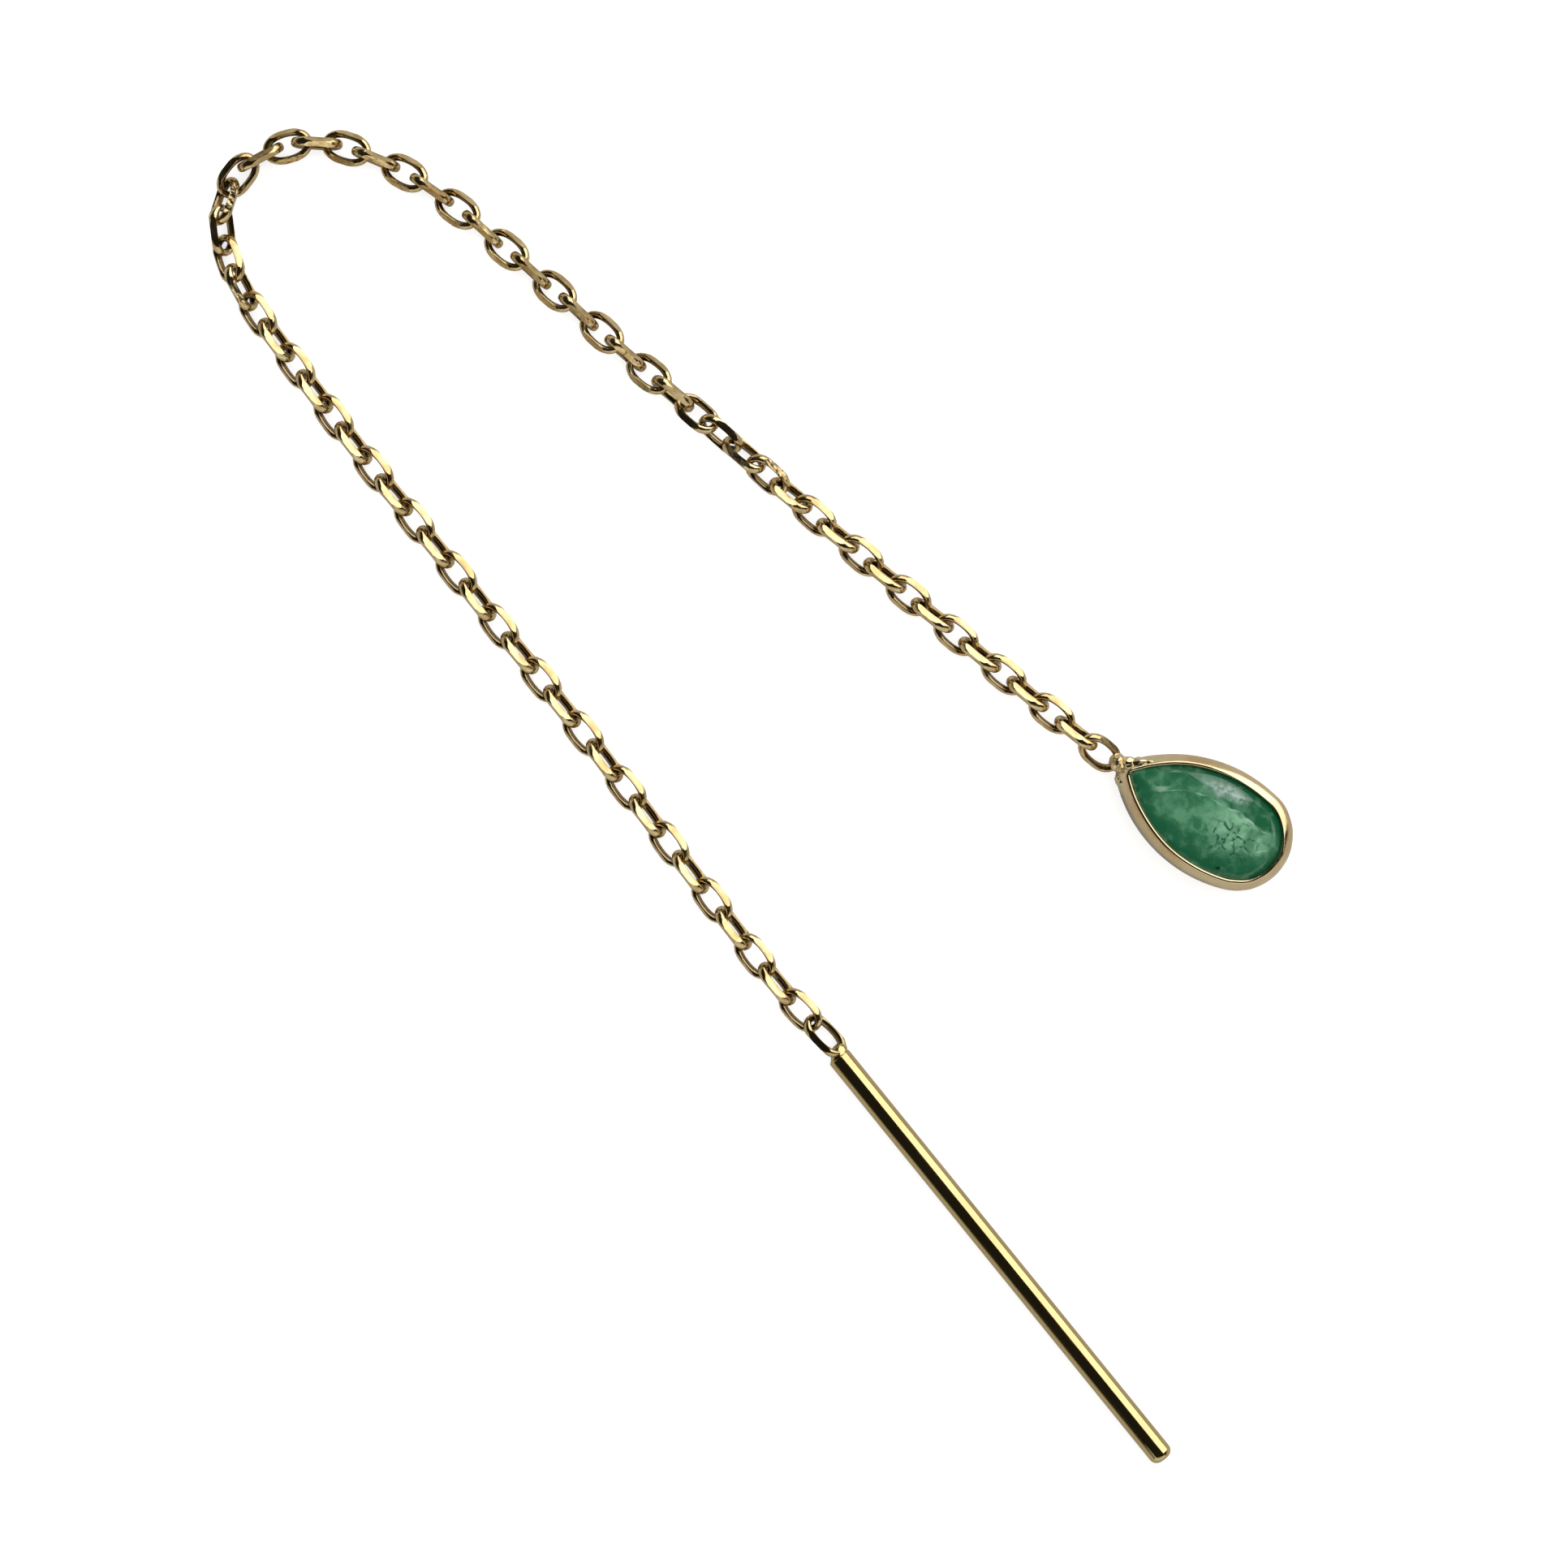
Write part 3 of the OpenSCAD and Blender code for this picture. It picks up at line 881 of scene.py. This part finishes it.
def polish_group():
    """Polishing marks on gold: uneven tone, fine drag lines along Y, and a soft waviness."""
    group = bpy.data.node_groups.new("polish_marks", "ShaderNodeTree")
    for name, value in (("Tone Size", 1200.0), ("Line Size", 9000.0), ("Wave Size", 1500.0)):
        socket = group.interface.new_socket(name=name, in_out="INPUT", socket_type="NodeSocketFloat")
        socket.default_value = value
    for name in ("Tone", "Lines", "Height"):
        group.interface.new_socket(name=name, in_out="OUTPUT", socket_type="NodeSocketFloat")
    entry = put_node(group, "NodeGroupInput", -900, 0)
    leave = put_node(group, "NodeGroupOutput", 500, 0)
    where = put_node(group, "ShaderNodeTexCoord", -900, 300)
    drag = put_node(group, "ShaderNodeMapping", -700, 100)
    drag.inputs["Scale"].default_value = (1.0, 0.08, 1.0)
    group.links.new(where.outputs["Object"], drag.inputs["Vector"])
    tone = noise(group, -450, 300, where.outputs["Object"], entry.outputs["Tone Size"], 4.0)
    lines = noise(group, -450, 0, drag.outputs["Vector"], entry.outputs["Line Size"], 2.0)
    wave = noise(group, -450, -300, where.outputs["Object"], entry.outputs["Wave Size"], 2.0)
    total = put_node(group, "ShaderNodeMath", 0, -100, operation="MULTIPLY_ADD")
    total.inputs[1].default_value = 0.16
    group.links.new(lines, total.inputs[0])
    group.links.new(wave, total.inputs[2])
    group.links.new(tone, leave.inputs["Tone"])
    group.links.new(lines, leave.inputs["Lines"])
    group.links.new(total.outputs[0], leave.inputs["Height"])
    return group


def gold_material(name, polish, light, deep, rough, depth, sizes):
    """Yellow gold: light and deep are its two tones, rough its range of roughness, depth its relief in mm.

    It is darker where the mesh's own attribute says so: painted shade on the inner side of the links.
    """
    material = bpy.data.materials.new(name)
    material.use_nodes = True
    tree = material.node_tree
    shader = tree.nodes["Principled BSDF"]
    shader.inputs["Metallic"].default_value = 1.0
    marks = put_node(tree, "ShaderNodeGroup", -900, 0)
    marks.node_tree = polish
    for key, value in sizes.items():
        marks.inputs[key].default_value = value
    tone = map_range(tree, -650, 200, marks.outputs["Tone"], 0.35, 0.65)
    color = mix_color(tree, -400, 250, light, deep)
    tree.links.new(tone, color.inputs["Factor"])
    # painted shade on the inner side of the links, read from the mesh's attribute
    inner_shade_attribute = put_node(tree, "ShaderNodeAttribute", -900, 500, attribute_name="painted_inner_shade")
    inner_shade_mask = map_range(tree, -650, 500, inner_shade_attribute.outputs["Fac"], 0.05, 0.75, 0.0, 0.85)
    inner_shaded_color = mix_color(tree, -200, 300, light, PAINTED_INNER_SHADE_COLOR)
    tree.links.new(inner_shade_mask, inner_shaded_color.inputs["Factor"])
    tree.links.new(color.outputs["Result"], inner_shaded_color.inputs["A"])
    tree.links.new(inner_shaded_color.outputs["Result"], shader.inputs["Base Color"])
    dull = map_range(tree, -400, -50, marks.outputs["Lines"], 0.35, 0.75, rough[0], rough[1])
    tree.links.new(dull, shader.inputs["Roughness"])
    bump = put_node(tree, "ShaderNodeBump", -300, -300)
    bump.inputs["Strength"].default_value = 1.0
    bump.inputs["Distance"].default_value = depth * MM
    tree.links.new(marks.outputs["Height"], bump.inputs["Height"])
    tree.links.new(bump.outputs["Normal"], shader.inputs["Normal"])
    return material


def emerald_material(matrix):
    """Cloudy green stone: pale clouds, deeper green at the rim, feathers, a dark speck, a painted pale
    reflection on the large crown facet and a painted highlight along the table's edge.
    """
    material = bpy.data.materials.new("cloudy_emerald")
    material.use_nodes = True
    tree = material.node_tree
    join = tree.links.new
    shader = tree.nodes["Principled BSDF"]
    shader.inputs["Metallic"].default_value = 0.0
    shader.inputs["IOR"].default_value = 1.58
    shader.inputs["Transmission Weight"].default_value = 0.2
    where = put_node(tree, "ShaderNodeTexCoord", -2500, 0)
    local = put_node(tree, "ShaderNodeMapping", -2300, 0, vector_type="TEXTURE")
    local.inputs["Location"].default_value = matrix.translation
    local.inputs["Rotation"].default_value = (0, 0, math.radians(BEZEL["turn"]))
    local.inputs["Scale"].default_value = (MM, MM, MM)
    join(where.outputs["Object"], local.inputs["Vector"])
    still = local.outputs["Vector"]
    warp = put_node(tree, "ShaderNodeTexNoise", -2100, -200)
    warp.inputs["Scale"].default_value = 2.2
    warp.inputs["Detail"].default_value = 4.0
    join(still, warp.inputs["Vector"])
    pull = put_node(tree, "ShaderNodeVectorMath", -1900, -200, operation="MULTIPLY_ADD")
    pull.inputs[1].default_value = (0.34, 0.34, 0.34)
    pull.inputs[2].default_value = (-0.17, -0.17, -0.17)
    join(warp.outputs["Color"], pull.inputs[0])
    moved = put_node(tree, "ShaderNodeVectorMath", -1700, -100, operation="ADD")
    join(still, moved.inputs[0])
    join(pull.outputs["Vector"], moved.inputs[1])
    point = moved.outputs["Vector"]

    def spot(at, size, turn=0.0, core=0.35):
        """A soft patch, seen from above: 1 at its middle, 0 outside."""
        place = put_node(tree, "ShaderNodeMapping", -1500, 0, vector_type="TEXTURE")
        place.inputs["Location"].default_value = (*at, 1.9)
        place.inputs["Rotation"].default_value = (0, 0, math.radians(turn))
        place.inputs["Scale"].default_value = (*size, 3.0)
        join(point, place.inputs["Vector"])
        length = put_node(tree, "ShaderNodeVectorMath", -1300, 0, operation="LENGTH")
        join(place.outputs["Vector"], length.inputs[0])
        return map_range(tree, -1100, 0, length.outputs["Value"], 1.0, core)

    def sum_of(one, other, kind="MULTIPLY", clamp=False):
        node = put_node(tree, "ShaderNodeMath", -900, 0, operation=kind, use_clamp=clamp)
        for socket, value in zip(node.inputs, (one, other)):
            if hasattr(value, "node"):
                join(value, socket)
            else:
                socket.default_value = value
        return node.outputs[0]

    def over(under, color, mask):
        node = mix_color(tree, -500, 0, (0, 0, 0), color)
        join(under, node.inputs["A"])
        join(mask, node.inputs["Factor"])
        return node.outputs["Result"]

    clouds = noise(tree, -1400, 500, point, 1.5, 6.0, 0.3)
    grain = noise(tree, -1400, 300, point, 6.0, 5.0, 0.5)
    cloud_mask = map_range(tree, -1100, 500, clouds, 0.36, 0.64, 0.3, 1.2)
    shade = spot((0.95, 1.25), (2.0, 0.76), 0, 0.82)
    light = sum_of(1.0, shade, "SUBTRACT")
    body = sum_of(spot((-0.45, 0.02), (3.0, 1.55), 0, 0.3), cloud_mask)
    heart = sum_of(sum_of(spot((0.70, 0.12), (1.6, 1.0), 0, 0.3), cloud_mask), light)
    base = mix_color(tree, -700, 400, (0.010, 0.100, 0.040), (0.082, 0.260, 0.135))
    join(sum_of(body, sum_of(light, 0.3, "MAXIMUM"), "MULTIPLY", True), base.inputs["Factor"])
    mottle = noise(tree, -1400, 700, point, 2.6, 5.0, 0.2)
    pale_part = map_range(tree, -1100, 700, mottle, 0.52, 0.30, 0.0, 0.35)
    dark_part = map_range(tree, -1100, 900, mottle, 0.46, 0.66, 0.0, 0.7)
    color = over(base.outputs["Result"], (0.16, 0.37, 0.23), pale_part)
    color = over(color, (0.012, 0.115, 0.05), dark_part)
    color = over(color, (0.25, 0.50, 0.31), sum_of(heart, 0.8, "MULTIPLY", True))
    # painted pale reflection on the large crown facet, broken up by the grain
    lens_sheen_grain = map_range(tree, -1100, 100, grain, 0.36, 0.62, 0.25, 0.8)
    painted_lens_sheen = sum_of(spot((-0.33, 1.04), (1.1, 0.34), 6, 0.35), lens_sheen_grain)
    color = over(color, (0.36, 0.49, 0.43), painted_lens_sheen)
    cells = put_node(tree, "ShaderNodeTexVoronoi", -1400, -500, feature="DISTANCE_TO_EDGE")
    cells.inputs["Scale"].default_value = 2.6
    join(point, cells.inputs["Vector"])
    cracks = map_range(tree, -1100, -500, cells.outputs["Distance"], 0.13, 0.01)
    broken = map_range(tree, -1100, -700, grain, 0.42, 0.56)
    near = spot((0.6, -0.3), (1.25, 0.95), 0, 0.45)
    color = over(color, (0.01, 0.085, 0.045), sum_of(sum_of(cracks, broken), near))
    flecks = map_range(tree, -1100, 250, grain, 0.58, 0.7, 0.0, 0.6)
    color = over(color, (0.03, 0.14, 0.075), sum_of(flecks, near))
    # feathers, and a painted highlight along the table's edge from the first six rows
    for x, y, length, width, turn, strength in FEATHERS_AND_EDGE_HIGHLIGHT:
        mask = sum_of(spot((x, y), (length / 2, width / 2), turn, 0.2), strength)
        color = over(color, (0.42, 0.62, 0.47), mask)
    color = over(color, (0.005, 0.035, 0.02), spot((0.64, -1.26), (0.15, 0.06), 8, 0.5))
    join(color, shader.inputs["Base Color"])
    scuff = map_range(tree, -350, -100, grain, 0.3, 0.8, 0.03, 0.1)
    join(scuff, shader.inputs["Roughness"])
    bump = put_node(tree, "ShaderNodeBump", -250, -300)
    bump.inputs["Strength"].default_value = 0.7
    bump.inputs["Distance"].default_value = 0.004 * MM
    join(clouds, bump.inputs["Height"])
    join(bump.outputs["Normal"], shader.inputs["Normal"])
    return material


# Camera, floor and light


def add_camera():
    """Straight above, turned as in the photograph."""
    data = bpy.data.cameras.new("camera")
    data.sensor_width = 36.0
    data.lens = 36.0 * 170.0 / 52.36
    data.clip_start = 0.01
    data.clip_end = 20.0
    camera = bpy.data.objects.new("camera", data)
    camera.location = Vector((-3.785, -1.195, 170.0)) * MM
    camera.rotation_euler = (0, 0, math.radians(-39))
    bpy.context.scene.collection.objects.link(camera)
    bpy.context.scene.camera = camera


def add_area(name, azimuth, elevation, distance, width, height, radiance, shows=True):
    """A rectangular light that faces the earring; azimuth 0 is +X. shows says if gold mirrors it."""
    data = bpy.data.lights.new(name, "AREA")
    data.shape = "RECTANGLE"
    data.size = width
    data.size_y = height
    data.energy = radiance * math.pi * width * height
    light = bpy.data.objects.new(name, data)
    way = Vector(
        (cos_deg(elevation) * cos_deg(azimuth), cos_deg(elevation) * sin_deg(azimuth), sin_deg(elevation))
    )
    light.location = way * distance
    light.rotation_euler = way.to_track_quat("Z", "Y").to_euler()
    light.visible_camera = False
    light.visible_glossy = shows
    bpy.context.scene.collection.objects.link(light)
    return light


def add_floor():
    """A plain pale floor that the eye sees as white."""
    bm = bmesh.new()
    bmesh.ops.create_grid(bm, x_segments=1, y_segments=1, size=1.6)
    material = bpy.data.materials.new("pale_floor")
    material.use_nodes = True
    tree = material.node_tree
    shader = tree.nodes["Principled BSDF"]
    shader.inputs["Base Color"].default_value = (0.38, 0.375, 0.355, 1)
    shader.inputs["Roughness"].default_value = 0.9
    shader.inputs["Specular IOR Level"].default_value = 0.0
    ray = put_node(tree, "ShaderNodeLightPath", -400, 0)
    glow = put_node(tree, "ShaderNodeMath", -200, -100, operation="MULTIPLY")
    glow.inputs[1].default_value = 0.73
    tree.links.new(ray.outputs["Is Camera Ray"], glow.inputs[0])
    shader.inputs["Emission Color"].default_value = (1, 1, 1, 1)
    tree.links.new(glow.outputs[0], shader.inputs["Emission Strength"])
    floor = piece_from(bm, "floor", material)
    floor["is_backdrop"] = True


def add_world():
    """A dark room around the lights, with a white backdrop for the eye."""
    world = bpy.data.worlds.new("room")
    world.use_nodes = True
    tree = world.node_tree
    back = tree.nodes["Background"]
    way = put_node(tree, "ShaderNodeTexCoord", -1100, 200)
    parts = put_node(tree, "ShaderNodeSeparateXYZ", -900, 200)
    tree.links.new(way.outputs["Generated"], parts.inputs["Vector"])
    high = map_range(tree, -700, 200, parts.outputs["Z"], 0.12, 0.34)
    wall = mix_color(tree, -500, 200, (0.33, 0.325, 0.305), (0.015, 0.014, 0.013))
    tree.links.new(high, wall.inputs["Factor"])
    ray = put_node(tree, "ShaderNodeLightPath", -600, -100)
    color = mix_color(tree, -300, 0, (0, 0, 0), (1, 1, 1))
    tree.links.new(wall.outputs["Result"], color.inputs["A"])
    tree.links.new(ray.outputs["Is Camera Ray"], color.inputs["Factor"])
    tree.links.new(color.outputs["Result"], back.inputs["Color"])
    bpy.context.scene.world = world


def add_lights():
    add_area("window", 11, 36.0, 0.7, 1.06, 0.86, 1.75)
    add_area("low_card", -118, 22.0, 0.7, 1.3, 0.5, 0.55)
    add_area("ceiling_fill", 0, 90, 0.8, 1.0, 1.0, 2.4, shows=False)


def main():
    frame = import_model()
    cad_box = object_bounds()
    route = ChainRoute(ROUTE, ROUTE_STEPS)
    places = joint_places(route)
    joints = chain_joints(route, places)
    frames = link_frames(route, places, joints)
    drop = Vector((0, 0, lowest_link(frames, CUT_LINK) - 0.005))
    frames = [(middle - drop, along, across) for middle, along, across in frames]
    needle_count = round(len(frames) * NEEDLE_SIDE_SHARE)

    polish = polish_group()
    chain_gold = gold_material(
        "gold_chain", polish, (0.93, 0.73, 0.39), (0.72, 0.50, 0.22), (0.10, 0.26), 0.020,
        {"Tone Size": 2200.0, "Line Size": 8000.0, "Wave Size": 2800.0},
    )
    bar_gold = gold_material(
        "gold_bar", polish, (0.75, 0.59, 0.28), (0.70, 0.53, 0.24), (0.07, 0.14), 0.003,
        {"Tone Size": 500.0, "Line Size": 5000.0, "Wave Size": 1100.0},
    )
    bezel_gold = gold_material(
        "gold_bezel", polish, (0.95, 0.77, 0.47), (0.80, 0.59, 0.32), (0.16, 0.3), 0.008,
        {"Tone Size": 700.0, "Line Size": 5000.0, "Wave Size": 1300.0},
    )

    link = piece_from(link_bmesh(CUT_LINK), "cut_link", chain_gold)
    tree = chain_tree()
    needle_frames = frames[1 : needle_count + 1]
    pendant_frames = frames[needle_count + 1 : -1]
    needle_side = chain_piece("chain_near_needle", needle_frames, link, tree, chain_gold, 3)
    pendant_side = chain_piece("chain_near_pendant", pendant_frames, link, tree, chain_gold, 8)
    bpy.data.objects.remove(link)

    first = frames[0]
    link_end = first[0] - first[1] * PLAIN_LINK["length"] / 2
    head = Vector((link_end.x - NEEDLE["shift"], link_end.y + NEEDLE["overlap"], NEEDLE["d"] / 2))
    bar = needle_bmesh(head, link_end)
    add_mesh(bar, link_bmesh(CUT_LINK), frame_matrix(*first))
    needle = piece_from(bar, "ear_needle", bar_gold)

    last = frames[-1]
    point = stone_outline()
    pendant = pendant_matrix()
    setting = bezel_bmesh(point)
    bmesh.ops.transform(setting, matrix=pendant, verts=setting.verts[:])
    add_mesh(setting, link_bmesh(CUT_LINK), frame_matrix(*last), 1)
    for at, sizes, turn, seed in SOLDER_LUMPS:
        add_mesh(setting, lump_bmesh(Vector(at), sizes, turn, seed), pendant)
    bezel = piece_from(setting, "bezel_setting", bezel_gold)
    bezel.data.materials.append(chain_gold)

    emerald = emerald_material(pendant)
    stone = piece_from(stone_bmesh(point), "pear_stone", emerald, pendant)

    for piece, node, slot in (
        (needle_side, "chain_needle_side", "gold"),
        (pendant_side, "chain_pendant_side", "gold"),
        (needle, "needle", "gold"),
        (bezel, "setting", "gold"),
        (stone, "stone", "emerald"),
    ):
        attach(piece, "root")
        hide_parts(node)

    add_camera()
    add_floor()
    add_world()
    add_lights()
    bpy.context.scene.view_settings.view_transform = "Standard"
    sizes = {"cad": [list(map(float, corner)) for corner in cad_box]}
    sizes["visual"] = [list(map(float, corner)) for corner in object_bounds()]
    return frame


main()
